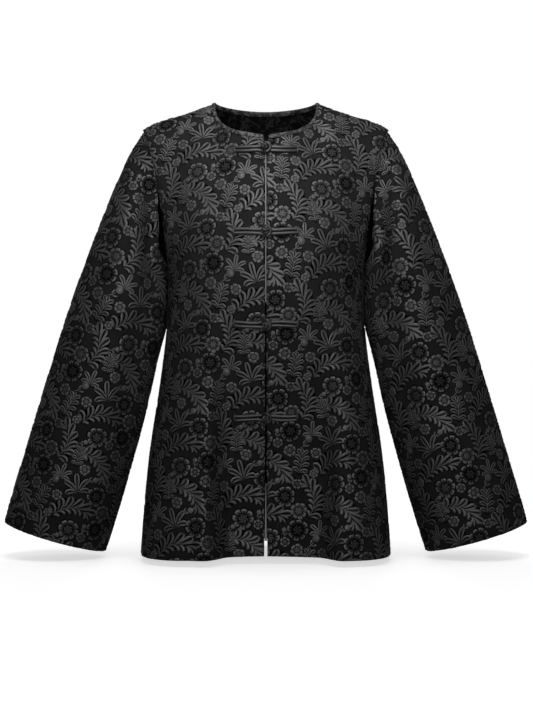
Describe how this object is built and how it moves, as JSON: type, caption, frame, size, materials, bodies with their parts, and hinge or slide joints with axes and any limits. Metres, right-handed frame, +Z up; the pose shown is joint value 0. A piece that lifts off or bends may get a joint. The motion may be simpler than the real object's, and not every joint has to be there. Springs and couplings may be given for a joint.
{
  "type": "tang jacket",
  "caption": "Collarless jacket in black floral brocade, open at neck, hem and cuffs, with wide straight sleeves, a bound neck and corded frog buttons down the centre front.",
  "frame": {"origin": "midway between the two shoulder neck points, where the wearer's shoulders hold the jacket up", "axes": "+Z up, front facing -Y, +X to the wearer's left"},
  "size_m": [0.7636, 0.276, 0.6519],
  "materials": {
    "brocade": "black jacquard brocade, raised satin figure on a dull ground",
    "binding": "bias strip of the same brocade",
    "satin": "black satin cord, soft sheen"
  },
  "bodies": {
    "root": {"back": "brocade", "front_left": "brocade", "front_right": "brocade", "sleeve_left": "brocade", "sleeve_right": "brocade", "neck_binding": "binding", "frog_1_loop": "satin", "frog_1_knot": "satin", "frog_2_loop": "satin", "frog_2_knot": "satin", "frog_3_loop": "satin", "frog_3_knot": "satin", "frog_4_loop": "satin", "frog_4_knot": "satin"}
  },
  "joints": []
}
